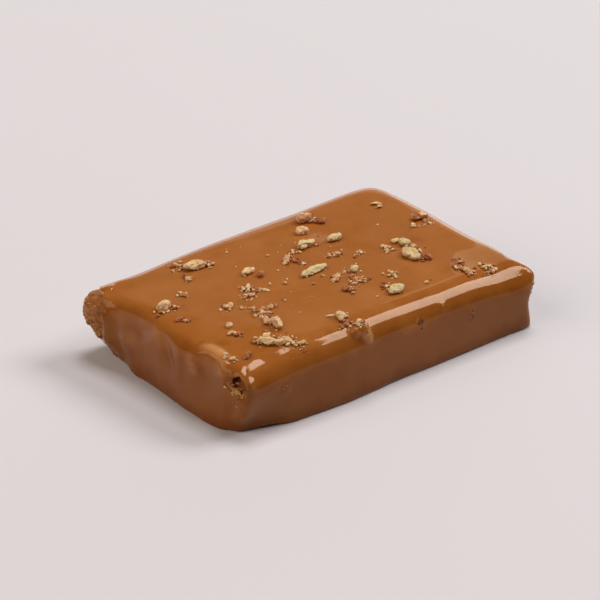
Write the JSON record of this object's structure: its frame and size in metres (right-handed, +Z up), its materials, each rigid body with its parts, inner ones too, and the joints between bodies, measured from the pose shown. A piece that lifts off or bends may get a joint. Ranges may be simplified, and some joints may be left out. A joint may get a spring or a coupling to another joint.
{
  "type": "caramel glazed slab cake",
  "caption": "Uncut rectangular slab cake under a smooth caramel glaze, with chopped nuts scattered over its top.",
  "frame": {"origin": "under the middle of the outer box, on the surface the cake stands on", "axes": "+X along the cake's long side, +Y along its short side, +Z up"},
  "size_m": [0.2142, 0.1432, 0.0477],
  "materials": {
    "caramel_glaze": "smooth poured caramel glaze, glossy and slightly see-through",
    "sponge": "open brown sponge crumb, matt, where the glaze has broken away",
    "nut_flesh": "pale chopped nut, matt and slightly oily",
    "nut_skin": "thin brown nut skin with a soft shine"
  },
  "bodies": {
    "root": {"cake": "caramel_glaze", "nut_round": "nut_flesh", "nut_broad": "nut_flesh", "nut_skinned": "nut_skin", "nut_arched": "nut_flesh", "nut_cut": "nut_flesh", "nut_sliver": "nut_flesh", "nut_oval": "nut_flesh", "nut_smooth": "nut_flesh", "nut_strip": "nut_flesh", "nut_leaning": "nut_flesh", "nut_wedge": "nut_flesh", "nut_edge": "nut_flesh", "nut_knot": "nut_flesh", "nut_ragged": "nut_flesh", "nut_split": "nut_flesh", "nut_far": "nut_skin"}
  },
  "joints": []
}
